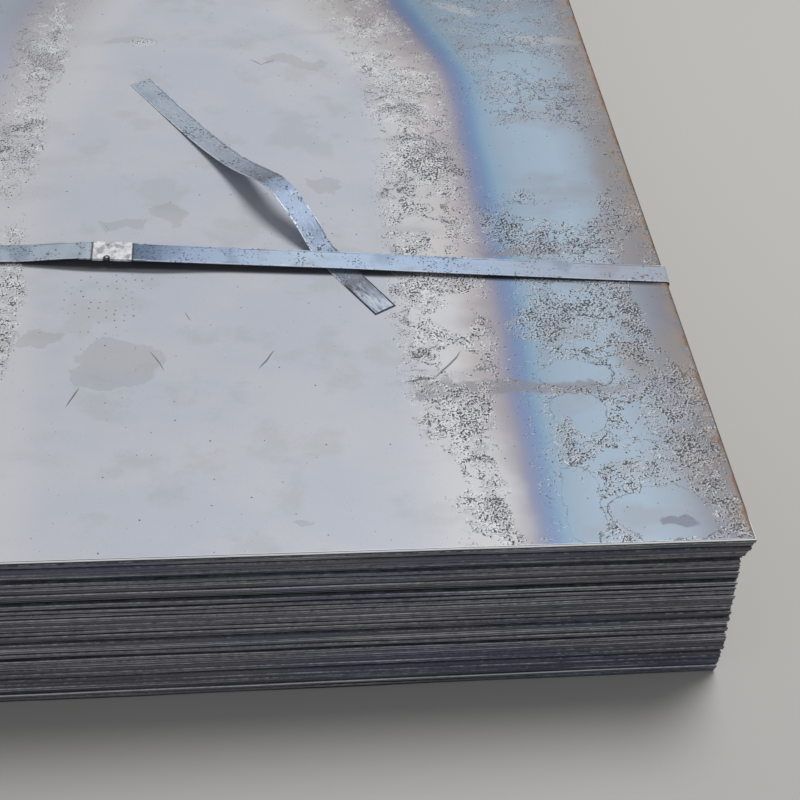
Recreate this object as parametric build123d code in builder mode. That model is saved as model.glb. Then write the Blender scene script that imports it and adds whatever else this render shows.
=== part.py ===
from build123d import *
import math
import os

# A bundle of hot rolled steel plates, cut to length and held by two flat steel straps. Each strap
# is closed by a crimped seal, and a loose off-cut of the same strap lies on top, caught under the
# near one. X runs across the plates, Y along them from the near end, Z up from the floor.

# Plates
plate_width = 1220.0
plate_length = 2440.0
plate_thickness = 6.0
plate_count = 40
scale_gap = 0.25  # loose mill scale and waviness keep the plates this far apart
mill_edge_bevel = 1.2
shear_roll = 0.5

# How far each plate sits from true in the pile
step_in = 8.0  # the uppermost plates step back from the top one by this much
step_in_plates = 6
drift_out = 17.5  # below them the pile drifts the other way
drift_plates = 25
sideways_wander = 0.7
end_wander = 1.1
set_back = 3.6  # a few plates were cut or laid short of the rest
set_back_plates = (5, 11, 13, 19, 22, 27, 33)

# Straps
strap_width = 32.0
strap_thickness = 0.9
strap_bend = 3.8
strap_clearance = 0.1
corner_ease = 1.2  # spring-back holds the bent strap this much off the pile's corners
near_strap_y = 487.0
near_strap_turn = -3.1  # degrees off square, as strapped
far_strap_y = 1955.0
far_strap_turn = 1.2
seal_x = -107.0  # from the middle of the plates
far_seal_x = 140.0
seal_rise = 11.0
# the slack span from the right edge to the seal: (share of the way, share of the seal's rise)
near_crown = ((0.05, 0.18), (0.17, 0.29), (0.36, 0.46), (0.62, 0.78), (0.8, 0.88), (0.92, 0.95))
far_crown = ((0.06, 0.2), (0.3, 0.44), (0.65, 0.62), (0.9, 0.86))
left_crown = 0.45
flat_past_seal = 5.0  # the strap runs level this far beyond its seal
left_slack = 6.5  # on the left the strap is down on the plate after this many such half seals
left_middle = 3.4

# Seals
seal_length = 50.0
seal_sheet = 0.9
seal_slack = 0.25
seal_corner = 1.2
seal_seam = 1.2  # between the sleeve's two edges, below
lap_space = 0.2
strap_tail = 17.0
notch_width = 8.0
notch_depth = 5.0
notch_at = -0.134  # from the seal's middle, as a share of its length
tab_droop = 32.0

# Loose off-cut of strap, its profile given by (distance from the near end, height)
offcut_in = 378.5  # from the plates' right edge
offcut_y = 389.5
offcut_turn = 121.3
offcut_profile = ((0, 0), (90, 0), (118, 1.8), (139, 5.6), (165, 19.0), (208, 34.5), (237, 40.5),
                  (254, 38.0), (295, 25.0), (330, 15.0), (372, 7.5), (440, 1.8), (505, 0.2), (574, 0))

strap_pitch = strap_thickness + lap_space
pile_bottom = strap_thickness + strap_clearance
plate_pitch = plate_thickness + scale_gap
pile_top = pile_bottom + plate_count * plate_pitch - scale_gap


def sideways(number):
    # the top plate is number 0
    if number <= step_in_plates:
        return -step_in * number / step_in_plates
    share = min(1.0, (number - step_in_plates) / drift_plates)
    return -step_in + drift_out * share + sideways_wander * math.sin(2.4 * number)


def endways(number):
    if number == 0:
        return 0.0
    short = set_back if number in set_back_plates else 0.0
    return short + end_wander * math.sin(1.9 * number + math.sin(0.7 * number))


side_shifts = [sideways(number) for number in range(plate_count)]
end_shifts = [endways(number) for number in range(plate_count)]
middle_x = (min(side_shifts) + max(side_shifts)) / 2
middle_y = (min(end_shifts) + max(end_shifts)) / 2


def plate_bottom(number):
    return pile_top - plate_thickness - number * plate_pitch


def from_corner(across, along):
    # a place given from the middle of the top plate's width and from its near end
    return (across - middle_x, along - plate_length / 2 - middle_y)


# One plate: rolled edges along its sides, sheared ends that roll over a little at the top
with BuildPart() as plate:
    with BuildSketch(Plane.XZ) as section:
        Rectangle(plate_width, plate_thickness)
        chamfer(section.vertices(), mill_edge_bevel)
    extrude(amount=plate_length / 2, both=True)
    ends = plate.faces().filter_by(Axis.Y)
    chamfer([end.edges().filter_by(Axis.X).sort_by(Axis.Z)[-1] for end in ends], shear_roll)


def plate_at(number):
    x, y = side_shifts[number] - middle_x, end_shifts[number] - middle_y
    return Location((x, y, plate_bottom(number) + plate_thickness / 2)) * plate.part


top_plate = plate_at(0)
top_plate.label = "top_plate"
lower_plates = Compound(label="plates", children=[plate_at(n) for n in range(1, plate_count)])


def strap_plane(strap_y, turn):
    x, y = from_corner(0, strap_y)
    along = Vector(math.cos(math.radians(turn)), math.sin(math.radians(turn)), 0)
    return Plane(origin=(0, y, 0), x_dir=along, z_dir=along.cross(Vector(0, 0, 1)))


def strap_corners(turn):
    # the taut strap touches the pile only where the plates stick out furthest
    slant = abs(math.tan(math.radians(turn))) * strap_width / 2
    out = plate_width / 2 + strap_thickness / 2 + strap_clearance + slant + corner_ease
    widen = 1 / math.cos(math.radians(turn))
    top = pile_top + strap_clearance + strap_thickness / 2 + corner_ease
    floor = strap_thickness / 2
    right, left = out - middle_x, -out - middle_x
    shoulder = plate_bottom(step_in_plates + drift_plates) + plate_thickness
    bulge = plate_bottom(step_in_plates) + plate_thickness / 2
    points = [
        (right - 4 * strap_bend, top),
        (right, top),
        (right + max(side_shifts), shoulder),
        (right + max(side_shifts), floor),
        (left + drift_out - step_in - sideways_wander, floor),
        (left + min(side_shifts), bulge),
        (left, top),
        (left + 4 * strap_bend, top),
    ]
    return [(x * widen, z) for x, z in points]


def seal_plane(strap_y, turn, at):
    # the middle of the lap: local x along the strap, local y across it, z up
    plane = strap_plane(strap_y, turn)
    origin = plane.from_local_coords((at, pile_top + seal_rise + strap_pitch / 2, 0))
    return Plane(origin=origin, x_dir=plane.x_dir, z_dir=(0, 0, 1))


def notches(lap, grow):
    # wedges bitten out of both long edges of the lap by the crimping tool
    reach = strap_width / 2 + 4 * seal_sheet
    with BuildPart() as bites:
        with BuildSketch(lap):
            for side in (-1, 1):
                middle = notch_at * seal_length
                edge = side * (strap_width / 2 - notch_depth - grow)
                with BuildLine():
                    Polyline((middle - notch_width / 4 - grow, edge),
                             (middle + notch_width / 4 + grow, edge),
                             (middle + notch_width / 2 + grow, side * reach),
                             (middle - notch_width / 2 - grow, side * reach), close=True)
                make_face()
        extrude(amount=6 * strap_thickness, both=True)
    return bites.part


def strap(name, strap_y, turn, at, crown):
    # at is where the seal sits along the strap, from the middle
    plane = strap_plane(strap_y, turn)
    corners = strap_corners(turn)
    low = pile_top + seal_rise
    high = low + strap_pitch
    half = seal_length / 2 + strap_tail
    straight = seal_length / 2 + flat_past_seal
    flat = corners[0][1]
    span = corners[0][0] - at - straight
    with BuildPart() as made:
        with BuildSketch(plane):
            with BuildLine():
                Line((at + half, high), (at - straight, high))
                Spline((at - straight, high), (at - left_middle * straight, pile_top + left_crown * seal_rise),
                       (at - left_slack * straight, flat), tangents=((-1, 0), (-1, 0)))
                Line((at - left_slack * straight, flat), corners[-1])
                FilletPolyline(*reversed(corners), radius=strap_bend)
                Spline(corners[0], *[(corners[0][0] - span * share, pile_top + seal_rise * rise)
                                     for share, rise in crown], (at + straight, low),
                       tangents=((-1, 0), (-1, 0)))
                Line((at + straight, low), (at - half, low))
            trace(line_width=strap_thickness)
        extrude(amount=strap_width / 2, both=True)
        add(notches(seal_plane(strap_y, turn, at), 0), mode=Mode.SUBTRACT)
    made.part.label = name
    return made.part


def seal(name, strap_y, turn, at):
    # a sheet sleeve folded round the lap, its two edges meeting below, bitten with it
    lap = seal_plane(strap_y, turn, at)
    room_width = strap_width + 2 * seal_slack
    room_height = strap_thickness + strap_pitch + 2 * lap_space
    across = Plane(origin=lap.origin, x_dir=lap.y_dir, z_dir=lap.x_dir)
    wide, tall = room_width + 2 * seal_sheet, room_height + 2 * seal_sheet
    tab_drop = (notch_depth / 2) * math.sin(math.radians(tab_droop))
    with BuildPart() as made:
        with BuildSketch(across):
            RectangleRounded(wide, tall, seal_corner)
            RectangleRounded(room_width, room_height, seal_corner - 0.9 * seal_sheet,
                             mode=Mode.SUBTRACT)
            with Locations((0, -tall / 2)):
                Rectangle(seal_seam, 2 * seal_sheet, mode=Mode.SUBTRACT)
        extrude(amount=seal_length / 2, both=True)
        add(notches(lap, -seal_slack), mode=Mode.SUBTRACT)
        for side in (-1, 1):
            # the bitten flap stays on the sleeve's top, bent down into its notch
            place = (notch_at * seal_length,
                     side * (strap_width / 2 - notch_depth * 0.55),
                     tall / 2 - seal_sheet / 2 - tab_drop)
            with BuildSketch(lap * Location(place, (-side * tab_droop, 0, 0))):
                Rectangle(notch_width * 0.42, notch_depth * 1.25)
            extrude(amount=seal_sheet / 2, both=True)
    made.part.label = name
    return made.part


def offcut(name):
    # a straight length in plan that was bent once and sprang back
    along = Vector(math.cos(math.radians(offcut_turn)), math.sin(math.radians(offcut_turn)), 0)
    x, y = from_corner(plate_width / 2 - offcut_in, offcut_y)
    foot = pile_top + strap_clearance + strap_thickness / 2
    plane = Plane(origin=(x, y, foot), x_dir=along, z_dir=along.cross(Vector(0, 0, 1)))
    with BuildPart() as made:
        with BuildSketch(plane):
            with BuildLine():
                Line(offcut_profile[0], offcut_profile[1])
                Spline(*offcut_profile[1:], tangents=((1, 0), (1, 0)))
            trace(line_width=strap_thickness)
        extrude(amount=strap_width / 2, both=True)
    made.part.label = name
    return made.part


pieces = [
    top_plate,
    lower_plates,
    strap("strap_near", near_strap_y, near_strap_turn, seal_x, near_crown),
    seal("seal_near", near_strap_y, near_strap_turn, seal_x),
    strap("strap_far", far_strap_y, far_strap_turn, far_seal_x, far_crown),
    seal("seal_far", far_strap_y, far_strap_turn, far_seal_x),
    offcut("strap_offcut"),
]

os.makedirs("parts", exist_ok=True)
for piece in pieces:
    export_step(piece, f"parts/{piece.label}.step")
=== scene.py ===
import math

import bpy
import numpy as np
from mathutils import Matrix, Vector


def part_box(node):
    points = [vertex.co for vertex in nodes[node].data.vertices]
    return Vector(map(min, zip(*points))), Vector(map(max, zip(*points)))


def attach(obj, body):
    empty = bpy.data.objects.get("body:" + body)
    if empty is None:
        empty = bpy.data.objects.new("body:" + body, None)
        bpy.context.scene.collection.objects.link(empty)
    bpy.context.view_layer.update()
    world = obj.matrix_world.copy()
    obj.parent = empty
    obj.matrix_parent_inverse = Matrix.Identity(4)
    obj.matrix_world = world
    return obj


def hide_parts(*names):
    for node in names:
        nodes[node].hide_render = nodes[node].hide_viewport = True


# A strapped bundle of hot rolled plates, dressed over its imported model. Metres throughout, apart from the
# places on the top, which are in mm from the top plate's near right corner.

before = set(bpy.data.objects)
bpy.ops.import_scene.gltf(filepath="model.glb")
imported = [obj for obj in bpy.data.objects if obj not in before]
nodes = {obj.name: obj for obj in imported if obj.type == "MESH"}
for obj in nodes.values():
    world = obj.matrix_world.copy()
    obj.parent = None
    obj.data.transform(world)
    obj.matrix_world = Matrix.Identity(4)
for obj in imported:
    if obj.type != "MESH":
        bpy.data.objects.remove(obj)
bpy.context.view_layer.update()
plateLow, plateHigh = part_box("top_plate")
print("frame loaded, top plate", [round(v, 3) for v in (*plateLow, *plateHigh)])

leftX, cornerX = plateLow[0], plateHigh[0]
cornerY = plateLow[1]
topZ = plateHigh[2]
mm = 1000.0  # to the metre


def tone(red, green, blue):
    # a colour as a screen shows it, 0 to 255, turned into the light it stands for by the sRGB curve
    def light(value):
        share = value / 255
        return share / 12.92 if share <= 0.04045 else ((share + 0.055) / 1.055) ** 2.4
    return (light(red), light(green), light(blue), 1.0)


# shader sums
class Flow:
    # a value, a colour or a place on its way through a material; sums on it add the nodes that do them
    def __init__(self, tree, socket):
        self.tree = tree
        self.socket = socket

    def made(self, kind, settings=None, sockets=None, output=0):
        return addNode(self.tree, kind, settings, sockets, output)

    def sum(self, operation, *others, clamp=False):
        # one Math node with this value first
        settings = {"operation": operation, "use_clamp": clamp}
        return self.made("ShaderNodeMath", settings, dict(enumerate((self, *others))))

    def after(self, operation, first):
        # one Math node with this value second
        return self.made("ShaderNodeMath", {"operation": operation}, {0: first, 1: self})

    def vector(self, operation, *others, output=0):
        # one Vector Math node with this place or colour first
        sockets = dict(enumerate((self, *others)))
        return self.made("ShaderNodeVectorMath", {"operation": operation}, sockets, output)

    def __add__(self, other):
        return self.sum("ADD", other)

    __radd__ = __add__

    def __sub__(self, other):
        return self.sum("SUBTRACT", other)

    def __rsub__(self, other):
        return self.after("SUBTRACT", other)

    def __mul__(self, other):
        return self.sum("MULTIPLY", other)

    __rmul__ = __mul__

    def __truediv__(self, other):
        return self.sum("DIVIDE", other)

    def __rtruediv__(self, other):
        return self.after("DIVIDE", other)

    def __pow__(self, other):
        return self.sum("POWER", other)

    def __rpow__(self, other):
        return self.after("POWER", other)

    def least(self, other):
        return self.sum("MINIMUM", other)

    def most(self, other):
        return self.sum("MAXIMUM", other)

    def size(self):
        return self.sum("ABSOLUTE")

    def held(self):
        # kept between 0 and 1
        return self.sum("ADD", 0.0, clamp=True)

    def rise(self, start, end):
        # 0 before start, 1 after end, with a soft ramp between; end may be the lower one
        settings = {"interpolation_type": "SMOOTHSTEP"}
        if start < end:
            return self.made("ShaderNodeMapRange", settings, {0: self, 1: start, 2: end, 3: 0.0, 4: 1.0})
        return self.made("ShaderNodeMapRange", settings, {0: self, 1: end, 2: start, 3: 1.0, 4: 0.0})

    def near(self, middle, reach, soft):
        # 1 within reach of middle, fading to 0 over soft
        return (self - middle).size().rise(reach + soft, reach)

    def blend(self, first, second):
        # first where this is 0, second where it is 1
        settings = {"data_type": "RGBA", "clamp_factor": True}
        return self.made("ShaderNodeMix", settings, {0: self, 6: first, 7: second}, output=2)

    def ramp(self, stops):
        # the colour at this place on a row of stops
        return self.made("ShaderNodeValToRGB", {"stops": stops}, {0: self})

    def shaded(self, factor):
        # a colour made lighter or darker by a factor that may vary
        return self.vector("MULTIPLY", factor)


def addNode(tree, kind, settings=None, sockets=None, output=0):
    # one node: its settings first, a ramp's stops among them, then the value or the link of each socket
    node = tree.nodes.new(kind)
    for name, value in (settings or {}).items():
        if name == "stops":
            fillRamp(node.color_ramp, value)
        else:
            setattr(node, name, value)
    for key, value in (sockets or {}).items():
        if isinstance(value, Flow):
            tree.links.new(value.socket, node.inputs[key])
        else:
            socket = node.inputs[key]
            if socket.type == "VECTOR" and isinstance(value, (int, float)):
                value = (value, value, value)
            socket.default_value = value
    return Flow(tree, node.outputs[output])


def fillRamp(ramp, stops):
    # each stop is its place from 0 to 1 and a colour as a screen shows it, or a number for a grey
    while len(ramp.elements) < len(stops):
        ramp.elements.new(1.0)
    for element, (place, colour) in zip(ramp.elements, stops):
        element.position = place
        element.color = tone(*colour) if isinstance(colour, tuple) else (colour, colour, colour, 1.0)


def noise(spot, scale, detail=2.0, roughness=0.5, output=0, flat=False):
    # soft random values round 0.5, so many to the metre; output 1 gives a random colour
    sockets = {"Vector": spot, "Scale": scale, "Detail": detail, "Roughness": roughness}
    return spot.made("ShaderNodeTexNoise", {"noise_dimensions": "2D" if flat else "3D"}, sockets, output)


def cells(spot, scale, flat=False):
    # how far the nearest of many scattered points is, in cells, and that point's own random colour
    settings = {"voronoi_dimensions": "2D" if flat else "3D"}
    away = spot.made("ShaderNodeTexVoronoi", settings, {"Vector": spot, "Scale": scale})
    return away, Flow(spot.tree, away.socket.node.outputs[1])


def stretched(spot, x, y, z, shift=(0.0, 0.0, 0.0)):
    # the place times x, y and z, plus a shift: what is read there gets that much finer
    return spot.vector("MULTIPLY_ADD", (x, y, z), shift)


def jostled(spot, scale, reach, flat=False):
    # the place itself, pushed about at random by up to reach
    push = noise(spot, scale, 2.0, output=1, flat=flat).vector("MULTIPLY_ADD", 2 * reach, -reach)
    return spot.vector("ADD", push)


def splitSpot(spot):
    # the three numbers of a place or a colour
    node = spot.tree.nodes.new("ShaderNodeSeparateXYZ")
    spot.tree.links.new(spot.socket, node.inputs[0])
    return [Flow(spot.tree, node.outputs[i]) for i in range(3)]


def most(flows):
    # the largest of several values
    total = flows[0]
    for flow in flows[1:]:
        total = total.most(flow)
    return total


def placeOnTop(across, along):
    # a place in mm from the near right corner, in metres
    return cornerX + across / mm, cornerY + along / mm, 0.0


def turnedBack(spot, middle, degrees):
    # the place measured from middle, along and across a thing that lies turned on the top
    away = spot.vector("SUBTRACT", middle)
    if not degrees:
        return away
    sockets = {"Vector": away, "Angle": -math.radians(degrees)}
    return away.made("ShaderNodeVectorRotate", {"rotation_type": "Z_AXIS"}, sockets)


def oval(spot, place, half, turn=0.0, soft=0.35):
    # 1 inside a soft oval on the top: the length of the place over the oval's halves is under 1
    away = turnedBack(spot, placeOnTop(*place), turn)
    away = away.vector("MULTIPLY", (mm / half[0], mm / half[1], 0.0))
    return away.vector("LENGTH", output=1).rise(1 + soft, 1 - soft)


def ovals(spot, places, soft=0.35):
    # 1 inside any of several ovals
    return most([oval(spot, place, half, turn, soft) for place, half, turn in places])


def mark(spot, start, end, wide):
    # a short straight mark from start to end with tapering ends: an oval laid along the line between them
    run = (end[0] - start[0], end[1] - start[1])
    middle = ((start[0] + end[0]) / 2, (start[1] + end[1]) / 2)
    return oval(spot, middle, (math.hypot(*run) / 2, wide), math.degrees(math.atan2(run[1], run[0])), 0.25)


def placed(name, data):
    # a new object at the origin of the scene
    thing = bpy.data.objects.new(name, data)
    bpy.context.collection.objects.link(thing)
    return thing


def newFinish(name, metallic, roughness):
    # an empty material with one shader, its tree, its shader and the place on the object
    material = bpy.data.materials.new(name)
    material.use_nodes = True
    tree = material.node_tree
    tree.nodes.clear()
    shader = tree.nodes.new("ShaderNodeBsdfPrincipled")
    shader.inputs["Metallic"].default_value = metallic
    shader.inputs["Roughness"].default_value = roughness
    out = tree.nodes.new("ShaderNodeOutputMaterial")
    tree.links.new(shader.outputs[0], out.inputs["Surface"])
    spot = addNode(tree, "ShaderNodeTexCoord", output=3)
    return material, shader, spot


def feed(shader, socket, flow):
    # what changes over the surface, linked to a socket of the shader
    shader.id_data.links.new(flow.socket, shader.inputs[socket])


def bumped(shader, height, distance, strength):
    # height, times a distance in metres, as a bump of the surface
    bump = height.made("ShaderNodeBump", None, {"Height": height, "Distance": distance, "Strength": strength})
    feed(shader, "Normal", bump)


def attribute(spot, name):
    # a value that the mesh carries at each of its points
    return spot.made("ShaderNodeAttribute", {"attribute_type": "GEOMETRY", "attribute_name": name}, output=2)


# plate rims: sheared ends and rolled edges, shared by the top plate and the plates under it
rimLook = {
    "metallic": 0.2,
    "roughness": 0.5,
    "endTone": tone(130, 129, 137),
    "endBlue": tone(112, 119, 148),
    "endHighlight": tone(250, 250, 254),
    "endDark": tone(8, 8, 10),
    "edgeTone": tone(104, 96, 92),
    "edgeRust": tone(124, 84, 58),
    "edgeDark": tone(66, 58, 56),
    # how fine the patterns are along, across and up, to the metre
    "cutLines": (260.0, 260.0, 1100.0),
    "cutGrain": (700.0, 700.0, 1500.0),
    "shearMarks": (620.0, 620.0, 70.0),
    "glints": (130.0, 130.0, 160.0),
    "blueClouds": (2.2, 2.2, 16.0),
    "edgeScale": (60.0, 60.0, 260.0),
    # a cut end's shade: at the least, more by plate, its drift along the plate, less towards the right
    "shade": 0.74,
    "shadeByPlate": 0.3,
    "shadeDrift": 0.5,
    "shadeRight": 0.22,
    # how far round the rim the painted highlights lie: where a top rolls over, the top plate's own, and the
    # burr
    "rollAt": 0.23,
    "lipAt": 0.24,
    "burrAt": 0.66,
    "bump": 0.0004,
}


def rimSteel():
    # the rim of a plate, from how far round the rim a place is: 0 on the top face, 1 on the bottom
    look = rimLook
    material, shader, spot = newFinish("rimSteel", look["metallic"], look["roughness"])
    rim = attribute(spot, "rim")
    seed = attribute(spot, "seed")
    lip = attribute(spot, "lip")
    endShare = attribute(spot, "endShare")
    x, y, _ = splitSpot(spot)
    perPlate = spot.made("ShaderNodeCombineXYZ", None, {0: x, 1: y, 2: seed * 9.0})
    slow = noise(stretched(perPlate, 2.2, 2.2, 1.0), 1.0, 3.0)
    other = noise(stretched(perPlate, 3.4, 3.4, 1.0, (6.0, 2.0, 4.0)), 1.0, 3.0)
    lines = noise(stretched(spot, *look["cutLines"]), 1.0, 2.0, 0.6)
    upright = noise(stretched(spot, *look["shearMarks"]), 1.0, 2.0)
    grain = noise(stretched(spot, *look["cutGrain"]), 1.0, 1.0)
    blue = noise(stretched(spot, *look["blueClouds"]), 1.0, 2.0).rise(0.5, 0.68)
    cut = (blue * 0.7).blend(look["endTone"], look["endBlue"])
    # each plate has its own shade, which drifts along it and falls towards the right
    ownShade = look["shade"] + seed * look["shadeByPlate"] + (slow - 0.5) * look["shadeDrift"]
    ownShade = ownShade - x.rise(0.0, 0.55) * look["shadeRight"]
    cut = cut.shaded(ownShade * (lines * 1.2 + grain * 0.8 + upright * 0.1))
    onTop = lip.rise(0.9, 1.0)  # 1 on the top plate, whose lip has the brightest painted highlight
    cut = cut.shaded(1 - onTop * 0.7)
    # painted highlights: a bright line where the top rolls over, a brighter broken one on the burr of some
    # plates
    glint = noise(stretched(spot, *look["glints"], (1.0, 4.0, 2.0)), 1.0, 3.0, 0.6)
    upper = lip - onTop * 0.5
    rolled = ((upper + (other - 0.5) * 1.8 + (glint - 0.5) * 1.4) * 1.3).held()
    roll = rim.near(look["rollAt"], 0.035, 0.04) * rolled
    burred = (seed * 1.4 - 0.6 + (slow - 0.5) * 2.0 + (glint - 0.5) * 1.4).held()
    burr = rim.near(look["burrAt"], 0.03, 0.04) * burred
    cut = roll.most(burr).blend(cut, look["endHighlight"])
    # a painted highlight all along the top plate's lip
    cut = (onTop * rim.near(look["lipAt"], 0.07, 0.02)).blend(cut, look["endHighlight"])
    # painted shade where two plates meet, darker and wider on some plates
    meet = rim.rise(0.69, 0.76).most(rim.rise(0.16, 0.11))
    gapShade = meet * (0.45 + seed * 0.6 + (other - 0.5) * 2.2).held()
    gapShade = gapShade.most(rim.rise(0.58, 0.66) * ((seed - 0.72) * 8.0 + (slow - 0.5) * 2.0).held())
    cut = (gapShade * (1 - onTop)).blend(cut, look["endDark"])
    # the rolled edges: scale, brown rust and rubbed places
    rough = noise(stretched(spot, *look["edgeScale"]), 1.0, 4.0, 0.6)
    rusty = (rough + (slow - 0.5) * 0.8).rise(0.46, 0.66)
    side = rusty.blend(look["edgeTone"], look["edgeRust"])
    side = rough.rise(0.52, 0.34).blend(side, look["edgeDark"]).shaded(0.7 + seed * 0.3 + lines * 0.3)
    # a painted highlight along the middle of each rolled edge
    side = rim.near(0.5, 0.0, 0.14).blend(side, side.shaded(1.25))
    feed(shader, "Base Color", endShare.rise(0.3, 0.7).blend(side, cut))
    feed(shader, "Roughness", look["roughness"] + (lines - 0.5) * 0.25 + rusty * (1 - endShare) * 0.25)
    bumped(shader, lines * 0.3 + upright * 0.35, look["bump"], 0.8)
    return material


# where the straps and the off-cut lie, and their colours
strapLook = {
    "width": 0.032,
    "metallic": 0.12,
    "roughness": 0.46,
    "gloss": 0.35,
    "bump": 0.0002,
    # how fine the patterns are, to the metre
    "lineScale": 900.0,
    "cloudScale": 16.0,
    "patchScale": 26.0,
    "speckScale": 310.0,
    "deep": tone(98, 114, 142),
    "pink": tone(150, 146, 152),
    "speck": tone(70, 74, 86),
    "bright": tone(218, 224, 234),
    "grimeAndShade": tone(84, 84, 94),
    "sheared": tone(34, 36, 44),
    # tones along a strap, from its left end (0) to its right end (1)
    "strapRun": 1.3,
    "alongStrap": [
        (0.00, (158, 164, 174)), (0.28, (170, 182, 196)), (0.405, (176, 188, 200)), (0.437, (98, 114, 142)),
        (0.460, (116, 134, 162)), (0.476, (154, 172, 200)), (0.60, (183, 201, 222)), (0.73, (172, 192, 219)),
        (0.84, (162, 175, 194)), (0.92, (160, 168, 184)), (1.00, (158, 163, 174)),
    ],
    # tones along the off-cut, from its near end (0): the dark stop at 0.10 is a painted shadow of the strap,
    # the one at 0.43 painted shade just past the kink
    "offcutRun": 0.6,
    "alongOffcut": [
        (0.00, (174, 190, 208)), (0.05, (156, 168, 184)), (0.10, (116, 120, 132)), (0.16, (142, 150, 164)),
        (0.22, (138, 152, 175)), (0.30, (142, 160, 186)), (0.415, (146, 162, 186)), (0.43, (118, 122, 134)),
        (0.47, (134, 140, 152)), (0.54, (156, 164, 178)), (0.72, (166, 176, 190)), (1.00, (172, 182, 194)),
    ],
    "offcutCloud": tone(124, 140, 164),
    "straps": {
        # how far behind the near end each crosses the middle, in mm, its turn, its seal's place along it,
        # the edge that catches the light, and how worn it is
        "strap_near": {"behind": 487.0, "turn": -3.1, "sealAt": -0.107, "litSide": -1, "speckled": 0.3},
        "strap_far": {"behind": 1955.0, "turn": 1.2, "sealAt": 0.14, "litSide": -1, "speckled": 0.3},
    },
    "offcut": {
        "end": (-378.5, 389.5), "turn": 121.3, "cutEnd": 0.075, "litSide": 1, "speckled": 1.0,
        # worn places: (along, half length), (across, half width) in metres
        "worn": [((0.010, 0.014), (-0.003, 0.012)), ((0.036, 0.020), (0.006, 0.006)),
                 ((0.158, 0.009), (0.009, 0.007)), ((0.118, 0.005), (-0.008, 0.004))],
    },
}


def strapMiddle(facts):
    # where a strap crosses the middle of the top
    return 0.0, cornerY + facts["behind"] / mm, 0.0


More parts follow.
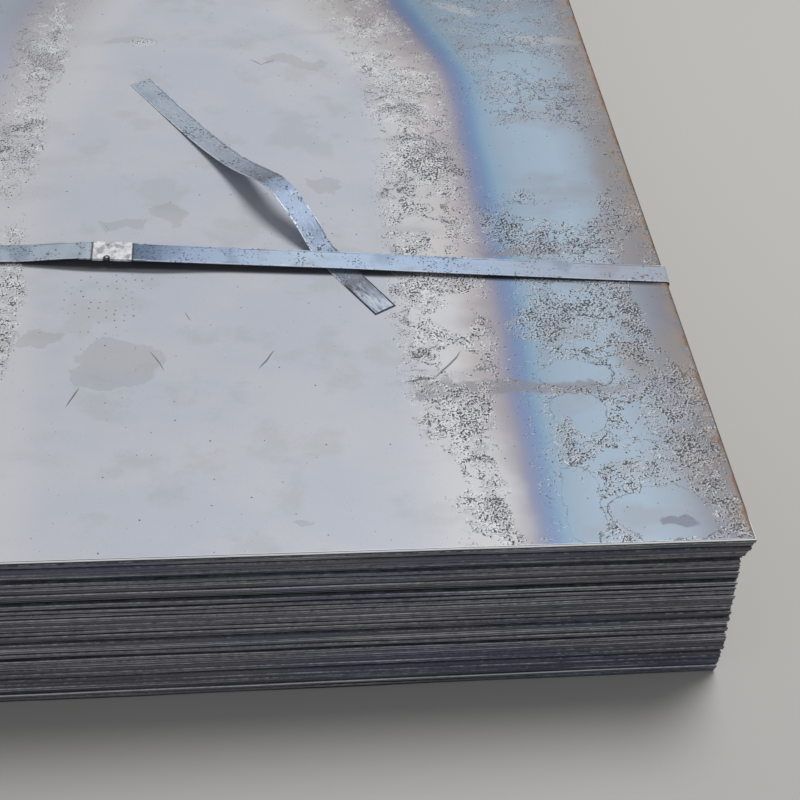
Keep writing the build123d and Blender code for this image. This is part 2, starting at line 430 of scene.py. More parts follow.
# the top plate
scaleLook = {
    "metallic": 0.0,
    "roughness": 0.34,
    "gloss": 0.3,
    # colours of the ground
    "warm": tone(193, 194, 200),
    "haze": tone(170, 174, 174),
    "mauve": tone(150, 146, 153),
    "paleSide": tone(194, 194, 200),
    "strapShadow": tone(52, 52, 58),  # painted shadow under a strap, where it stands off the plate
    "strapShadowShare": 0.84,
    "bared": tone(230, 231, 232),
    "thick": tone(150, 150, 157),
    "fleckDark": tone(36, 38, 45),
    "fleckHighlight": tone(240, 240, 242),
    "frontHighlight": tone(246, 247, 250),
    "tan": tone(164, 142, 120),
    "rust": tone(124, 96, 74),
    # how far in from its edge each blue line lies at the near end, and its bends: from, to, how far
    "rightLine": [0.224, (0.2, 0.42, -0.009), (0.42, 0.75, -0.01), (0.86, 1.16, 0.078), (1.3, 1.8, -0.06),
                  (1.9, 2.4, 0.04)],
    "leftLine": [0.252, (0.62, 0.95, 0.085), (0.95, 1.22, 0.07), (1.35, 1.75, -0.11), (1.9, 2.4, 0.04)],
    # how fine the patterns are, to the metre
    "cloudScale": 5.0,
    "streakScale": 7.0,
    "hazeScale": 9.0,
    "islandScale": 11.0,
    "webScale": 27.0,
    "groundScale": 23.0,
    "clumpScale": 62.0,
    "chipScale": 50.0,
    "crackScale": 100.0,
    "grain": 330.0,
    "swayScale": 3.0,
    "jitterScale": 15.0,
    "gapScale": 19.0,
    "bendScale": 30.0,
    "rustScale": 40.0,
    # single specks: so many cells to the metre, the share of them with a speck, its radius
    "specks": [(24.0, 0.26, 0.0014), (62.0, 0.03, 0.001)],
    "dottedSpecks": (95.0, 0.5, 0.0014),
    # how strong each layer of the ground is
    "cloudShare": 0.8,
    "hazeShare": 0.4,
    "streakShare": 0.4,
    "paleShare": 0.65,
    # lightness: all over, more near the front and beside the flaking, less far off and at the edges
    "level": 1.05,
    "frontLight": 0.06,
    "bandLight": 0.05,
    "farDark": 0.05,
    "edgeDark": 0.05,
    # flecks: a higher limit leaves fewer, a higher sharpness gives them harder edges
    "fleckLimit": 0.765,
    "fleckSharpness": 22.0,
    "lightSharpness": 14.0,
    "fleckStep": (0.0011, -0.001, 0.0),  # from a fleck to the painted highlight beside it
    # bump, and how strong it is on flaked and on whole scale
    "bump": 0.0004,
    "bumpFlaked": 0.1,
    "bumpWhole": 0.008,
    # how far in from the edges: the painted highlight along the near end, tan and rust
    "frontHighlightReach": (0.0034, 0.0028),
    "tanReach": 0.034,
    "rustReach": (0.0065, 0.0015),
    # colours of what is laid over the tint, with how strong and how soft each is; its places are below
    "stain": tone(160, 162, 162),
    "laidOver": [
        ("pale", tone(214, 216, 221), 0.7, 0.6), ("smears", tone(140, 138, 146), 0.74, 0.3),
        ("leaf", tone(116, 122, 136), 0.75, 0.16), ("worn", tone(186, 188, 192), 0.5, 0.3),
        ("browned", tone(150, 143, 138), 0.6, 0.6),
    ],
    # tint from 250 mm nearer the edge than the deep blue line (0) to 250 mm past it (1)
    "tint": [
        (0.04, (130, 124, 124)), (0.11, (134, 136, 147)), (0.15, (141, 147, 160)), (0.20, (155, 167, 181)),
        (0.28, (163, 182, 199)), (0.38, (159, 179, 197)), (0.43, (153, 172, 190)), (0.468, (141, 167, 189)),
        (0.486, (126, 156, 186)), (0.50, (120, 145, 181)), (0.520, (123, 139, 174)), (0.538, (138, 142, 168)),
        (0.560, (162, 158, 167)), (0.595, (182, 176, 179)), (0.635, (194, 190, 190)), (0.67, (197, 195, 195)),
        (0.74, (196, 197, 201)), (0.82, (188, 192, 201)), (1.00, (187, 191, 202)),
    ],
    # how much of the scale has flaked off in the same steps across
    "flaking": [
        (0.05, 0.80), (0.12, 0.95), (0.20, 0.9), (0.34, 1.0), (0.43, 0.6), (0.47, 0.2),
        (0.555, 0.15), (0.585, 0.7), (0.64, 1.0), (0.74, 0.9), (0.80, 0.35), (0.835, 0.0),
    ],
    # places in mm: (across, along), (half width, half length), turn
    "smooth": [
        ((-160, 273), (46, 24), -6), ((-166, 203), (38, 34), 10), ((-118, 588), (62, 24), 4),
        ((-106, 700), (78, 104), 12), ((-182, 712), (30, 90), 0), ((-190, 60), (26, 60), 0),
        ((-92, 42), (66, 42), -3), ((-256, 120), (20, 130), 0), ((-300, 300), (26, 22), 20),
        ((-312, 560), (34, 18), 0), ((-318, 486), (34, 16), 8), ((-290, 380), (22, 40), 0),
        ((-345, 120), (20, 40), 10), ((-330, 730), (36, 14), 0), ((-28, 400), (24, 130), 6),
    ],
    "flaked": [
        ((-130, 515), (84, 28), -6), ((-150, 372), (62, 44), 20), ((-98, 244), (34, 26), 10),
        ((-62, 188), (26, 46), 20), ((-36, 108), (20, 84), 12), ((-64, 380), (14, 60), 8),
        ((-286, 690), (42, 62), 14), ((-302, 192), (24, 38), 10),
        ((-292, 90), (14, 96), 3), ((-204, 560), (24, 38), 10), ((-184, 150), (10, 44), 0),
        ((-330, 420), (34, 26), 0), ((-300, 820), (40, 14), 0), ((-70, 330), (20, 50), 14),
        ((-846, 410), (18, 130), -4), ((-838, 740), (26, 110), -4), ((-812, 940), (26, 120), -9),
        ((-872, 680), (34, 56), 0), ((-672, 979), (18, 10), 0),
    ],
    "pale": [((-296, 110), (34, 110), 4), ((-322, 395), (34, 60), 10), ((-318, 300), (20, 30), 0)],
    "stains": [
        ((-716, 296), (46, 38), 12), ((-454, 935), (34, 18), 0), ((-442, 639), (18, 16), 0),
        ((-699, 553), (30, 14), 0), ((-642, 584), (20, 22), 0), ((-797, 354), (30, 16), 0),
        ((-514, 39), (12, 8), 0), ((-686, 978), (32, 12), 0),
    ],
    "smears": [((-222, 250), (138, 12), -1.5), ((-180, 503), (60, 6), 0), ((-330, 246), (34, 12), 8)],
    "leaf": [((-96, 37), (13, 7), -14), ((-78, 32), (15, 8), -14)],
    "worn": [((-188, 1085), (34, 12), -24), ((-60, 1000), (50, 14), 0)],
    "browned": [
        ((-72, 293), (24, 30), 10), ((-46, 520), (22, 60), 6), ((-40, 120), (18, 50), 0),
        ((-22, 640), (26, 150), 0), ((-20, 900), (22, 170), 0), ((-22, 300), (18, 50), 4),
    ],
    "marks": [
        ((-672, 323), (-656, 287), 0.68), ((-769, 230), (-755, 261), 0.99), ((-543, 288), (-523, 321), 0.99),
        ((-629, 391), (-621, 374), 0.56), ((-369, 263), (-330, 268), 1.5), ((-332, 267), (-295, 313), 1.3),
        ((-517, 939), (-500, 927), 0.93), ((-500, 927), (-481, 942), 0.93),
    ],
    "dotted": [((-730, 408), (42, 62), 0), ((-715, 446), (60, 20), 0)],
}


def dots(spot, scale, share, radius):
    # round specks: one in each cell whose random value is under share
    away, colour = cells(spot, scale, True)
    chance, other, _ = splitSpot(colour)
    inside = away.rise(radius * scale, radius * scale * 0.45)
    return inside * chance.rise(share + 0.02, share) * (0.5 + other * 0.5)


def wandering(along, bends):
    # a distance that changes softly along the plate: its start, plus each bend's step from here to there
    line = bends[0]
    for start, end, step in bends[1:]:
        line = line + along.rise(start, end) * step
    return line


def millScale():
    # the top face: a tint that depends on how far in from the edge a place is, what is laid over it,
    # and flecks where fine noise is over a limit that falls as the scale flakes more
    look = scaleLook
    material, shader, spot = newFinish("millScale", look["metallic"], look["roughness"])
    shader.inputs["Specular IOR Level"].default_value = look["gloss"]
    x, y, _ = splitSpot(spot)
    flat = spot.made("ShaderNodeCombineXYZ", None, {0: x, 1: y, 2: 0.0})
    along = y - cornerY
    loose = jostled(flat, 26.0, 0.013, True)
    ragged = jostled(loose, 130.0, 0.0045, True)
    sway = (noise(flat, look["swayScale"], 2.0, flat=True) - 0.5) * 0.02
    sway = sway + (noise(flat, look["jitterScale"], 3.0, flat=True) - 0.5) * 0.004
    # the blue line wanders in and out along the plate, on each side in its own way
    rightLine = wandering(along, look["rightLine"])
    leftLine = wandering(along, look["leftLine"])
    far = along.rise(0.84, 1.1) - along.rise(1.3, 1.7)
    fromLine = (cornerX - x) - rightLine + sway
    inRight = fromLine * (1 - far * fromLine.size().rise(0.02, 0.1) * 0.35)
    inLeft = ((x - leftX) - leftLine - sway) * 0.9
    side = (x - (cornerX + leftX) / 2).rise(-0.02, 0.02)  # 0 on the left half, 1 on the right
    across = side.blend(inLeft * 2.0 + 0.5, inRight * 2.0 + 0.5)
    across = across.vector("DOT_PRODUCT", (1.0, 0.0, 0.0), output=1)
    colour = across.ramp(look["tint"])
    # clouds, haze and streaks in the ground
    cloud = noise(stretched(flat, 1.0, 1.6, 1.0), look["cloudScale"], 4.0, 0.55, flat=True)
    streak = noise(stretched(flat, 1.0, 2.2, 1.0, (4.0, 0.0, 0.0)), look["streakScale"], 3.0, flat=True)
    middle = across.rise(0.68, 0.9)
    colour = (cloud.rise(0.42, 0.62) * middle * look["cloudShare"]).blend(colour, look["warm"])
    haze = noise(stretched(flat, 1.0, 1.3, 1.0, (7.0, 3.0, 0.0)), look["hazeScale"], 5.0, 0.62, flat=True)
    colour = (haze.rise(0.5, 0.66) * middle * look["hazeShare"]).blend(colour, look["haze"])
    veiled = (1 - middle) * (1 - across.near(0.49, 0.03, 0.06))
    colour = (streak.rise(0.5, 0.72) * veiled * look["streakShare"]).blend(colour, look["mauve"])
    colour = ((1 - side) * (1 - middle) * look["paleShare"]).blend(colour, look["paleSide"])
    # lighter near the front and beside the flaking band, darker far off and at the rolled edges
    nearer = look["level"] + along.rise(0.34, 0.0) * look["frontLight"]
    nearer = nearer - along.rise(0.0, 1.3) * look["farDark"] - across.rise(0.2, 0.08) * look["edgeDark"]
    nearer = nearer + across.near(0.71, 0.03, 0.1) * look["bandLight"]
    mottled = 0.97 + cloud * 0.06 + (haze - 0.5) * 0.05
    colour = colour.shaded(mottled * nearer * (1 - far * across.rise(0.8, 0.6) * 0.22))
    # a painted shadow under each strap, wider and softer by its seal, where the strap stands off the plate
    for facts in strapLook["straps"].values():
        u, v, _ = splitSpot(turnedBack(flat, strapMiddle(facts), facts["turn"]))
        bySeal = (u - facts["sealAt"]).near(0.01, 0.03, 0.12)
        away = (v + 0.0015 + bySeal * 0.002).size() + (streak - 0.5) * 0.001 - bySeal * 0.004
        colour = (away.rise(0.0222, 0.0168) * look["strapShadowShare"]).blend(colour, look["strapShadow"])
    # marks laid over the tint
    stained = ovals(jostled(ragged, 15.0, 0.03, True), look["stains"], 0.16)
    colour = (stained * 0.36 + stained.near(0.4, 0.1, 0.3) * 0.2).blend(colour, look["stain"])
    for name, laid, strength, soft in look["laidOver"]:
        place = ragged if name in ("smears", "worn") else loose
        colour = (ovals(place, look[name], soft) * strength).blend(colour, laid)
    # flaking: ragged patches and strings of flecks round islands of whole scale
    island = noise(stretched(ragged, 1.0, 1.7, 1.0), look["islandScale"], 4.0, 0.6, flat=True)
    web = noise(stretched(ragged, 1.0, 1.3, 1.0, (2.0, 5.0, 0.0)), look["webScale"], 3.0, 0.55, flat=True)
    lean = 0.1 * (1 - along.rise(0.0, 0.3)) * across.rise(0.5, 0.62)
    lean = lean + ((1 - side) * 0.13 + side * far * 0.13) * across.rise(0.5, 0.62)
    zone = (across + lean).ramp(look["flaking"]).vector("DOT_PRODUCT", (1.0, 0.0, 0.0), output=1)
    strings = island.near(0.5, 0.005, 0.034) * 0.75 + web.near(0.5, 0.007, 0.034) * 0.65
    patch = island.rise(0.50, 0.64) * 0.5 + strings
    smooth = ovals(ragged, look["smooth"], 0.16)
    density = zone * patch * (1 - smooth * 0.95) * (0.5 + side * 0.5) * (1 - far * 0.35)
    density = density * (1 - along.rise(0.5, 0.66) * across.rise(0.2, 0.1) * 0.75)
    flaked = ovals(ragged, look["flaked"], 0.55) * (0.25 + strings * 0.75 + island.rise(0.4, 0.6) * 0.45)
    density = density.most(flaked * (0.7 + side * 0.3)).held()
    clump = noise(flat, look["clumpScale"], 3.0, 0.6, flat=True)  # flecks gather in clumps
    density = (density * (0.2 + clump * 1.6)).held()
    # whole flakes gone: a paler ground, and dull grey where the scale is thick
    ground = noise(ragged, look["groundScale"], 3.0, 0.55, flat=True)
    bared = density.rise(0.04, 0.4) * ground.rise(0.42, 0.56) * (0.12 + across.rise(0.53, 0.63) * 0.5)
    colour = bared.blend(colour, look["bared"])
    thick = density.rise(0.2, 0.5) * ground.rise(0.52, 0.40)
    greyed = across.rise(0.47, 0.57).most(across.rise(0.28, 0.12))
    colour = (thick * (0.24 + greyed * 0.18)).blend(colour, look["thick"])
    # flecks: dark where fine noise is over a limit, with a painted highlight beside them
    grit = noise(flat, look["grain"], 2.0, 0.6, flat=True)
    beside = noise(stretched(flat, 1.0, 1.0, 1.0, look["fleckStep"]), look["grain"], 2.0, 0.6, flat=True)
    weight = density * 0.24 - look["fleckLimit"] + density.rise(0.0, 0.1) * 0.075
    fleck = ((grit + weight) * look["fleckSharpness"]).held()
    lit = ((beside + weight + 0.005) * look["lightSharpness"]).held() * density.rise(0.02, 0.2)
    # cracks between them, along a contour of coarser noise, with a painted highlight beside each
    crackle = noise(ragged, look["crackScale"], 2.0, 0.55, flat=True)
    broken = density.rise(0.12, 0.4) * grit.rise(0.40, 0.54)
    fleck = fleck.most(crackle.near(0.5, 0.006, 0.016) * broken)
    lit = lit.most(crackle.near(0.532, 0.009, 0.016) * broken)
    # larger chips with a dark rim and a painted highlight inside it
    chips = noise(loose, look["chipScale"], 3.0, 0.6, flat=True)
    chipped = density.rise(0.05, 0.24)
    colour = (chips.rise(0.53, 0.56) * chipped * (0.16 + greyed * 0.24)).blend(colour, look["thick"])
    fleck = fleck.most(chips.near(0.5, 0.004, 0.012) * chipped * 0.95)
    lit = lit.most(chips.near(0.527, 0.008, 0.010) * chipped)
    # broken lines along the strings, and round the smooth places near the front of the blue side
    lines = island.near(0.498, 0.0014, 0.004).most(web.near(0.5, 0.0008, 0.0034) * 0.8)
    gaps = noise(flat, look["gapScale"], 3.0, flat=True).rise(0.45, 0.52)
    lines = lines * gaps * zone.rise(0.1, 0.5) * smooth.rise(0.8, 0.5)
    outlined = smooth.near(0.45, 0.03, 0.10) * along.rise(0.42, 0.3) * across.rise(0.5, 0.44)
    lines = lines.most(outlined * (0.4 + gaps * 0.5))
    # single scratches and round specks
    bent = jostled(flat, look["bendScale"], 0.003, True)
    drawn = most([mark(bent, start, end, wide) for start, end, wide in look["marks"]])
    specks = most([dots(flat, *sort) for sort in look["specks"]])
    specks = specks.most(dots(flat, *look["dottedSpecks"]) * ovals(flat, look["dotted"], 0.4))
    dark = most([fleck, lines * 0.85, drawn * 0.75, specks])
    glare = 0.46 + across.rise(0.5, 0.6) * 0.36 + along.rise(0.3, 0.1) * 0.12 - along.rise(0.4, 0.8) * 0.28
    colour = (lit * glare).blend(colour, look["fleckHighlight"])
    colour = (dark * (0.92 - along.rise(0.6, 1.0) * 0.25)).blend(colour, look["fleckDark"])
    colour = colour.shaded(0.965 + grit * 0.07)
    # a painted highlight along the near end, tan and rust along the rolled edges
    front = along.rise(*look["frontHighlightReach"])
    colour = (front * 0.6).blend(colour, look["frontHighlight"])
    toEdge = (cornerX - x).least(x - leftX)
    rustNoise = noise(flat, look["rustScale"], 4.0, 0.65, flat=True)
    tanned = toEdge.rise(look["tanReach"], 0.0) * rustNoise.rise(0.38, 0.6)
    colour = (tanned * 0.5).blend(colour, look["tan"])
    rust = (toEdge + (rustNoise - 0.5) * -0.02).rise(*look["rustReach"])
    colour = (rust * 0.75).blend(colour, look["rust"])
    feed(shader, "Base Color", colour)
    feed(shader, "Roughness", look["roughness"] + (cloud - 0.5) * 0.12 + dark * 0.25 + rust * 0.3)
    # the same fine noise stands proud where the scale is flaking
    bumped(shader, grit, look["bump"], density * look["bumpFlaked"] + look["bumpWhole"])
    return material


def paint(node, material):
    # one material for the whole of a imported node
    node.data.materials.clear()
    node.data.materials.append(material)


# the strips of top and bottom that show between the plates under the top one
sliverLook = {
    "metallic": 0.1,
    "roughness": 0.42,
    "dull": tone(84, 86, 96),
    "clear": tone(124, 128, 138),
    "dirtAndShade": tone(60, 56, 56),
    "roughScale": 60.0,
    "gritScale": 400.0,
    "bump": 0.0003,
}


def sliverScale():
    # two greys by coarse noise, with dirt where fine noise is high
    look = sliverLook
    material, shader, spot = newFinish("sliverScale", look["metallic"], look["roughness"])
    rough = noise(spot, look["roughScale"], 4.0, 0.6)
    grit = noise(spot, look["gritScale"], 2.0)
    colour = rough.rise(0.35, 0.65).blend(look["dull"], look["clear"])
    feed(shader, "Base Color", (grit.rise(0.6, 0.7) * 0.6).blend(colour, look["dirtAndShade"]))
    feed(shader, "Roughness", look["roughness"] + rough * 0.2)
    bumped(shader, grit, look["bump"], 0.5)
    return material


# the plates' shapes
sheetShape = {
    "pitch": 0.00625,  # one plate and the loose scale under it
    "rollOver": 0.0013,  # how far down the shear has rolled the top of a cut end
    "endLoss": 0.0021,  # a cut end stands back from its longest by up to this
    "edgeLoss": 0.0006,
    "dip": 0.0006,  # the lips of a plate thin by up to this
    "lips": (0.0, 0.8),  # how bright the painted highlight on the rolled-over line of a cut end is, at least and at most
    # lengths of the waves along the rim, where half the plate's width is 1
    "lossWaves": (3.1, 1.3, 0.45),
    "rollWaves": (1.9, 0.6, 0.2),
    "dipTopWaves": (2.3, 0.8, 0.3),
    "dipLowWaves": (2.7, 0.9, 0.35),
    "tearWaves": (0.7, 0.21, 0.09),
    "frontSteps": 88,
    "backSteps": 44,
    "sideSteps": 36,
    "sharpAngle": 38,
    "seed": 7,
}

# the rim step by step from the top face to the bottom one: depths inwards in mm, the rest as shares
rimProfile = {
    "cutDepth": (4.5, 2.4, 1.0, 0.30, 0.05, 0.0, 0.25, 0.45, 0.15, 0.55, 4.5),
    "cutLevel": (1.0, 1.0, 0.985, 0.90, 0.76, 0.62, 0.42, 0.12, 0.0, 0.0, 0.0),
    "edgeDepth": (4.5, 2.8, 1.3, 0.55, 0.14, 0.0, 0.14, 0.55, 1.3, 2.8, 4.5),
    "edgeLevel": (1.0, 1.0, 0.965, 0.865, 0.70, 0.5, 0.30, 0.135, 0.035, 0.0, 0.0),
    "tearDepth": (0.0, 0.0, 0.0, 0.0, 0.0, 0.0, 0.35, 0.45, 0.3, 0.2, 0.0),
    "rolledDown": (0.0, 0.1, 0.5, 1.0, 0.5, 0.0, 0.0, 0.0, 0.0, 0.0, 0.0),
    "topDip": (0.0, 0.3, 0.8, 1.0, 0.8, 0.4, 0.0, 0.0, 0.0, 0.0, 0.0),
    "lowLift": (0.0, 0.0, 0.0, 0.0, 0.0, 0.0, 0.0, 0.5, 1.0, 0.6, 0.0),
}


def wander(rng, places, waves, count):
    # smooth random values from 0 to 1, one row for each plate: a sum of sines of the place, each
    # with its own length and start, put into the range from 0 to 1
    total = np.zeros((count, len(places)))
    for length in waves:
        start = rng.uniform(0, 2 * np.pi, (count, 1))
        size = rng.uniform(0.4, 1.0, (count, 1))
        total += size * np.sin(2 * np.pi * places[None, :] / length + start)
    low, high = total.min(axis=1, keepdims=True), total.max(axis=1, keepdims=True)
    return (total - low) / (high - low)


def outline(look):
    # once round a rectangle from -1 to 1, corner by corner, anticlockwise from above, with how
    # much each point belongs to a cut end (1) or to a rolled edge (0)
    front = np.linspace(-1, 1, look["frontSteps"], endpoint=False)
    side = np.linspace(-1, 1, look["sideSteps"], endpoint=False)
    back = np.linspace(1, -1, look["backSteps"], endpoint=False)
    ofFront, ofSide, ofBack = np.ones_like(front), np.ones_like(side), np.ones_like(back)
    x = np.concatenate([front, ofSide, back, -ofSide])
    y = np.concatenate([-ofFront, side, ofBack, -side])
    endShare = np.concatenate([ofFront, 0 * ofSide, ofBack, 0 * ofSide])
    endShare[look["frontSteps"]] = 1.0
    endShare[-look["sideSteps"]] = 1.0
    return x, y, endShare


def plateSheets(name, boxes, look):
    # Plates as closed sheets. Each is its outline carried through the steps of the rim profile:
    # point (place, step) = the outline point moved inwards by depth[step] + its end's loss, at
    # height thickness * level[step] - dip. Top and bottom are closed by flat faces.
    rng = np.random.default_rng(look["seed"])
    x, y, endShare = outline(look)
    count, around = len(boxes), len(x)
    low = np.array([b[0] for b in boxes])
    high = np.array([b[1] for b in boxes])
    thick = (high - low)[:, 2]
    # how far round the rim a point is, for the sums of sines
    turn = np.where(y < 0, 0.0, 1.7) + np.where(endShare > 0.5, x, y * 2)
    loss = wander(rng, turn, look["lossWaves"], count) * rng.uniform(0.3, 1.0, (count, 1))
    roll = 0.35 + 0.9 * wander(rng, turn, look["rollWaves"], count) * rng.uniform(0.4, 1.0, (count, 1))
    dipTop = wander(rng, turn, look["dipTopWaves"], count) * rng.uniform(0.2, 1.0, (count, 1))
    dipLow = wander(rng, turn, look["dipLowWaves"], count) * rng.uniform(0.2, 1.0, (count, 1))
    tear = wander(rng, turn, look["tearWaves"], count)
    rim = {key: np.array(row) for key, row in rimProfile.items()}
    steps = len(rim["cutDepth"])
    share = endShare[None, :, None]
    depth = share * (rim["cutDepth"] / mm) + (1 - share) * (rim["edgeDepth"] / mm)
    level = share * rim["cutLevel"] + (1 - share) * rim["edgeLevel"]
    inside = np.arange(steps) % (steps - 1) == 0  # the first and last steps close onto flat faces
    free = np.where(inside, 0.0, 1.0)
    lossSize = np.where(endShare > 0.5, look["endLoss"], look["edgeLoss"])[None, :]
    depth = depth + (loss * lossSize)[:, :, None] * free
    depth = depth + tear[:, :, None] * (rim["tearDepth"] / mm) * share
    rolled = (roll * 0.6)[:, :, None] * (rim["rolledDown"] * look["rollOver"]) * share
    height = level * thick[:, None, None] - rolled
    height = height - dipTop[:, :, None] * (rim["topDip"] * look["dip"])
    height = height + dipLow[:, :, None] * (rim["lowLift"] * look["dip"])
    middle = (low + high) / 2
    halfX, halfY, _ = ((high - low) / 2).T[:, :, None, None]
    px = middle[:, 0, None, None] + np.clip(x[None, :, None] * halfX, depth - halfX, halfX - depth)
    py = middle[:, 1, None, None] + np.clip(y[None, :, None] * halfY, depth - halfY, halfY - depth)
    pz = low[:, 2, None, None] + height
    points = np.stack([px, py, pz], axis=-1).reshape(-1, 3)
    # quads between neighbouring places and steps, then the two flat faces
    plate, place, step = np.meshgrid(np.arange(count), np.arange(around), np.arange(steps - 1), indexing="ij")
    first = plate * around * steps + step
    here = first + place * steps
    after = first + (place + 1) % around * steps
    quads = np.stack([here, here + 1, after + 1, after], axis=-1)
    starts = np.arange(count)[:, None] * around * steps
    rings = starts + np.arange(around)[None, :] * steps
    faces = quads.reshape(-1, 4).tolist() + rings.tolist() + (rings[:, ::-1] + steps - 1).tolist()
    mesh = bpy.data.meshes.new(name)
    mesh.from_pydata(points.tolist(), [], faces)
    # what the rims' material reads at each point
    dullest, brightest = look["lips"]
    values = {
        "lip": dullest + (brightest - dullest) * rng.uniform(0, 1, (count, 1, 1)) ** 1.5,
        "rim": np.linspace(0, 1, steps),
        "seed": rng.uniform(0, 1, (count, 1, 1)),
        "endShare": share,
    }
    for key, value in values.items():
        value = np.broadcast_to(value, (count, around, steps))
        layer = mesh.attributes.new(key, "FLOAT", "POINT")
        layer.data.foreach_set("value", np.ascontiguousarray(value, dtype=np.float32).ravel())
    # material 0 is the flat of the plate, 1 its rim
    onRim = ((step > 0) & (step < steps - 2)).astype(np.int32).ravel()
    mesh.polygons.foreach_set("material_index", np.concatenate([onRim, np.zeros(2 * count, np.int32)]))
    mesh.shade_smooth()
    mesh.set_sharp_from_angle(angle=math.radians(look["sharpAngle"]))
    print(name, count, "plates,", len(faces), "faces")
    return placed(name, mesh)


def plateBoxes(node):
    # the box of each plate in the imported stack: a corner's plate is how many pitches it is below the top
    slack = 0.0001
    data = np.empty(len(node.data.vertices) * 3)
    node.data.vertices.foreach_get("co", data)
    spots = data.reshape(-1, 3)
    number = np.floor((topZ - spots[:, 2] + slack) / sheetShape["pitch"]).astype(int)
    return [(spots[number == n].min(axis=0), spots[number == n].max(axis=0)) for n in np.unique(number)]


# the top plate is straighter than the rest, and its lip carries a painted highlight all along
topShape = dict(sheetShape, endLoss=0.0003, edgeLoss=0.0009, dip=0.0001, lips=(1.0, 1.0), seed=3)
topPiece = plateSheets("topSheet", [(np.array(plateLow), np.array(plateHigh))], topShape)
rims = rimSteel()
topPiece.data.materials.append(millScale())
topPiece.data.materials.append(rims)
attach(topPiece, "root")
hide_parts("top_plate")

lowerBoxes = plateBoxes(nodes["plates"])
print("plates under the top one:", len(lowerBoxes))
stackPiece = plateSheets("stackSheets", lowerBoxes, sheetShape)
stackPiece.data.materials.append(sliverScale())
stackPiece.data.materials.append(rims)
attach(stackPiece, "root")
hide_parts("plates")


# straps and the off-cut
def stripSteel(name, middle, facts, alongTone):
    # a strip's steel: a tone that changes along it, then rubbed light along its edges and in worn places,
    # then a painted highlight along the lit edge, dark specks, scratches, grime and painted shade
    look = strapLook
    litSide, speckled = facts["litSide"], facts["speckled"]
    material, shader, spot = newFinish(name, look["metallic"], look["roughness"])
    shader.inputs["Specular IOR Level"].default_value = look["gloss"]
    strip = turnedBack(spot, middle, facts["turn"])
    u, v, _ = splitSpot(strip)
    half = look["width"] / 2
    edge = v.size() - half  # 0 at either edge, negative inside
    rolled = noise(stretched(strip, 7.0, look["lineScale"], 7.0), 1.0, 2.0)  # fine lines along the strip
    cloudy = noise(strip, look["cloudScale"], 3.0)
    colour = alongTone(u, cloudy)
    colour = colour.shaded(0.94 - speckled * 0.14 + rolled * (0.09 + speckled * 0.3) + cloudy * 0.06)
    patch = noise(stretched(strip, 1.0, 1.0, 1.0, (3.0, 7.0, 1.0)), look["patchScale"], 3.0).rise(0.42, 0.58)
    speck = noise(strip, look["speckScale"], 1.5) - 0.71 + patch * 0.12 + speckled * 0.04
    speck = (speck * 16.0).held()
    scratch = noise(stretched(strip, 40.0, 520.0, 40.0, (0.0, 9.0, 0.0)), 1.0, 2.0)
    scratch = ((scratch - 0.66) * 12.0).held() * patch
    # rubbed along both edges, in streaks at worn places and as frost; a painted highlight in a line at the
    # lit edge
    bare = noise(stretched(strip, 60.0, 210.0, 60.0, (5.0, 0.0, 0.0)), 1.0, 3.0)
    rubAndHighlight = (bare + edge * 60.0).rise(0.44, 0.62)
    rubAndHighlight = rubAndHighlight.most((half - v * litSide).rise(0.0014, 0.0008) * bare.rise(0.3, 0.42))
    streaks = noise(stretched(strip, 70.0, 420.0, 70.0, (0.0, 3.0, 8.0)), 1.0, 4.0, 0.65)
    for (place, halfLong), (beside, halfWide) in facts.get("worn", ()):
        there = ((u - place) / halfLong).size().most(((v - beside) / halfWide).size()).rise(1.3, 0.8)
        rubAndHighlight = rubAndHighlight.most(there * streaks.rise(0.44, 0.62) * 0.8)
    frost = noise(stretched(strip, 150.0, 420.0, 150.0, (2.0, 0.0, 0.0)), 1.0, 3.0, 0.6)
    rubAndHighlight = rubAndHighlight.most(((frost - 0.58) * 9.0).held() * speckled * 0.5)
    colour = (rubAndHighlight * 0.75).blend(colour, look["bright"])
    dark = speck.most(scratch * 0.7)
    dark = dark.most(frost.rise(0.40, 0.33) * edge.rise(-0.006, 0.0) * 0.8)
    if "cutEnd" in facts:  # grime towards the end that was cut, and dark cut edges with a painted shadow along them
        toCut = u.rise(facts["cutEnd"], facts["cutEnd"] * 0.8)
        colour = (toCut * streaks.rise(0.48, 0.36) * 0.7).blend(colour, look["grimeAndShade"])
        sheared = edge.rise(-0.0022, -0.0012).most(u.rise(0.0026, 0.0016))
        colour = (toCut * sheared).blend(colour, look["sheared"])
    if "sealAt" in facts:  # painted shade where the strip goes into its seal
        dark = dark.most(((u - facts["sealAt"]).size() - 0.025).near(0.0, 0.0012, 0.0012))
    # painted shade: a fine dark line inside the edge away from the light
    inner = (edge + 0.0022 + (noise(strip, 30.0, 2.0) - 0.5) * 0.002).near(0.0, 0.0002, 0.0005)
    dark = dark.most(inner * (v * -litSide).rise(0.0, 0.001) * cloudy.rise(0.38, 0.48))
    colour = (dark * 0.8).blend(colour, look["speck"])
    feed(shader, "Base Color", colour)
    feed(shader, "Roughness", look["roughness"] + (rolled - 0.5) * 0.2 + dark * 0.2 - rubAndHighlight * 0.08)
    bumped(shader, rolled * 0.3 + (1 - dark) * 0.6 + cloudy * 0.4, look["bump"], 0.7)
    return material


def strapTone(u, cloudy):
    # duller at the left end, deep blue just past the seal, then light blue, and grey at the right end
    look = strapLook
    tones = (u / look["strapRun"] + 0.5).ramp(look["alongStrap"])
    tones = (cloudy.rise(0.5, 0.62) * (1 - u.near(-0.04, 0.06, 0.03)) * 0.5).blend(tones, look["pink"])
    return (cloudy.rise(0.44, 0.34) * 0.35).blend(tones, look["deep"])


def offcutTone(u, cloudy):
    # streaky grey at the near end with a painted shadow of the strap, bright blue up to the kink, painted
    # shade just past it, greyer beyond
    look = strapLook
    tones = (u / look["offcutRun"]).ramp(look["alongOffcut"])
    return (cloudy.rise(0.5, 0.64) * 0.35).blend(tones, look["offcutCloud"])


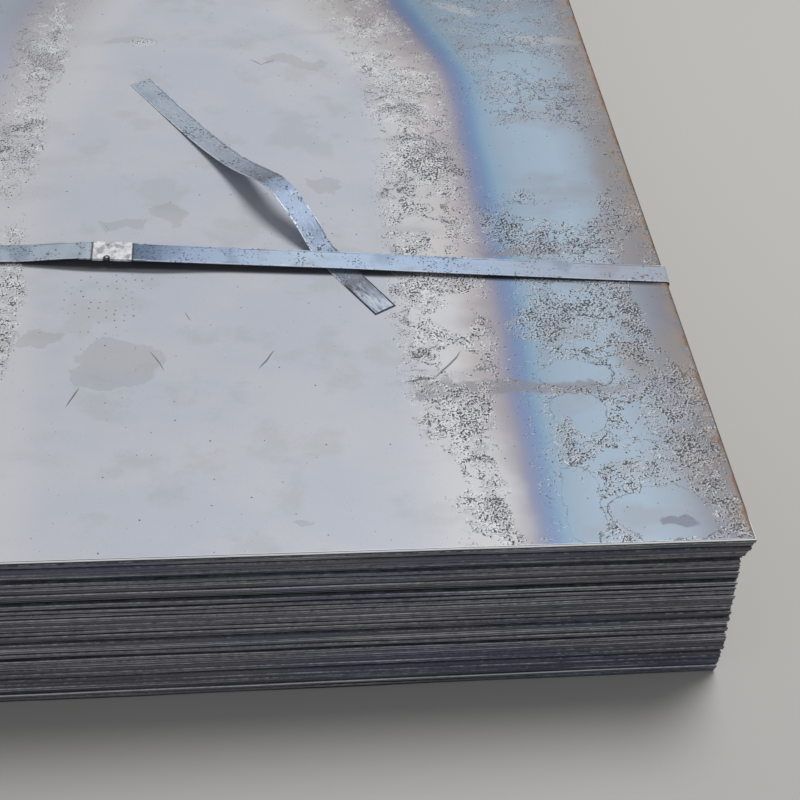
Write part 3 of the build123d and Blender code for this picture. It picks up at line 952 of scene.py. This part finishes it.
for name, facts in strapLook["straps"].items():
    paint(nodes[name], stripSteel(name + "_steel", strapMiddle(facts), facts, strapTone))
offcut = strapLook["offcut"]
paint(nodes["strap_offcut"], stripSteel("offcutSteel", placeOnTop(*offcut["end"]), offcut, offcutTone))
print("straps painted")


# seals
sealLook = {
    "metallic": 0.5,
    "roughness": 0.36,
    "zinc": tone(226, 226, 229),
    "light": tone(250, 250, 251),
    "grey": tone(158, 158, 164),
    "dirtAndShade": tone(74, 74, 80),
    "spangles": 200.0,  # to the metre
    "mottles": 120.0,
    "dirtScale": 420.0,
    "bump": 0.0007,
    "length": 0.05,
    "notch": (-0.0067, -0.0165),  # along and across from the seal's middle
    "notchReach": (0.0040, 0.0056),
    "seals": {"seal_near": "strap_near", "seal_far": "strap_far"},
}


def sealZinc(name, facts):
    # a seal's zinc: pale spangles by cells, grey mottling, dirt, and painted shade at its ends and round the
    # bitten notch
    look = sealLook
    material, shader, spot = newFinish(name, look["metallic"], look["roughness"])
    spangle, other, _ = splitSpot(cells(jostled(spot, look["spangles"], 0.001), look["spangles"] * 0.95)[1])
    mottle = noise(spot, look["mottles"], 4.0, 0.6)
    colour = spangle.blend(look["zinc"], look["light"])
    colour = (mottle.rise(0.48, 0.62) * 0.75).blend(colour, look["grey"])
    u, v, _ = splitSpot(turnedBack(spot, strapMiddle(facts), facts["turn"]))
    u = u - facts["sealAt"]
    toEnd = u.size() * -1 + look["length"] / 2
    sealEndShade = (toEnd + (mottle - 0.5) * 0.002).rise(0.0012, 0.0004)
    dirty = ((noise(spot, look["dirtScale"], 2.0) - 0.66) * 12.0).held()
    dirtAndShade = most([dirty, mottle.rise(0.66, 0.74), sealEndShade])
    # the notch: painted shade in an arch round it, and on the tab's low end
    (notchU, notchV), (reachU, reachV) = look["notch"], look["notchReach"]
    fromNotch = (((u - notchU) / reachU) ** 2.0 + ((v - notchV) / reachV) ** 2.0) ** 0.5
    grimeAndShade = fromNotch.near(0.95, 0.12, 0.14).most(fromNotch.rise(1.0, 0.9) * v.rise(-0.0130, -0.0138))
    dirtAndShade = dirtAndShade.most(grimeAndShade * 1.2)
    colour = (dirtAndShade * 0.8).blend(colour, look["dirtAndShade"])
    feed(shader, "Base Color", colour)
    feed(shader, "Roughness", look["roughness"] + other * 0.14 + dirtAndShade * 0.2)
    bumped(shader, mottle + spangle * 0.15 - dirtAndShade * 0.4, look["bump"], 0.9)
    return material


for name, strap in sealLook["seals"].items():
    paint(nodes[name], sealZinc(name + "_zinc", strapLook["straps"][strap]))
print("seals painted")


# camera
view = {
    "sensor": 36.0,
    "nearest": 0.05,
    "fromCorner": (-0.6833, -1.1593, 1.4059),  # from the top plate's near right corner
    "turn": 12.32,  # degrees to the right of straight along the plates
    "down": 44.64,
    "roll": 7.70,
    "lens": 75.81,  # for that sensor and a square picture
}


def addCamera():
    # turned about the upright, tipped down from level and rolled, in that order from the outside in
    data = bpy.data.cameras.new("camera")
    data.sensor_width = view["sensor"]
    data.lens = view["lens"]
    data.clip_start = view["nearest"]
    camera = placed("camera", data)
    aim = (Matrix.Rotation(-math.radians(view["turn"]), 4, "Z")
           @ Matrix.Rotation(math.radians(90 - view["down"]), 4, "X")
           @ Matrix.Rotation(math.radians(view["roll"]), 4, "Z"))
    place = Vector((cornerX, cornerY, topZ)) + Vector(view["fromCorner"])
    camera.matrix_world = Matrix.Translation(place) @ aim
    bpy.context.scene.camera = camera


# floor, lamps and world
studio = {
    "floorReach": 14.0,
    "floorTone": tone(196, 194, 190),
    "floorRoughness": 0.85,
    "worldTone": (0.95, 0.97, 1.0, 1.0),
    "worldLight": 0.29,
    "keyPower": 143.0,
    "keyFrom": (0.32, 0.24, 0.915),  # from the middle of the top towards the lamp
    "keyAim": (0.0, -0.7, topZ),
    "keyAway": 4.6,
    "keySize": 2.2,
}


def addStudio():
    # a square of floor at height 0, an even world, and one round lamp that looks at the pile's near half
    reach = studio["floorReach"]
    mesh = bpy.data.meshes.new("floor")
    corners = [(-reach, -reach, 0), (reach, -reach, 0), (reach, reach, 0), (-reach, reach, 0)]
    mesh.from_pydata(corners, [], [(0, 1, 2, 3)])
    floor = placed("floor", mesh)
    material, shader, _ = newFinish("floorPaint", 0.0, studio["floorRoughness"])
    shader.inputs["Base Color"].default_value = studio["floorTone"]
    mesh.materials.append(material)
    world = bpy.data.worlds.new("studio")
    world.use_nodes = True
    background = world.node_tree.nodes["Background"]
    background.inputs["Color"].default_value = studio["worldTone"]
    background.inputs["Strength"].default_value = studio["worldLight"]
    bpy.context.scene.world = world
    lamp = bpy.data.lights.new("key", "AREA")
    lamp.shape = "DISK"
    lamp.size = studio["keySize"]
    lamp.energy = studio["keyPower"]
    key = placed("key", lamp)
    toLamp = Vector(studio["keyFrom"]).normalized()
    key.location = Vector(studio["keyAim"]) + toLamp * studio["keyAway"]
    key.rotation_euler = (-toLamp).to_track_quat("-Z", "Y").to_euler()


addStudio()
addCamera()
bpy.context.scene.view_settings.view_transform = "Standard"
print("scene made")
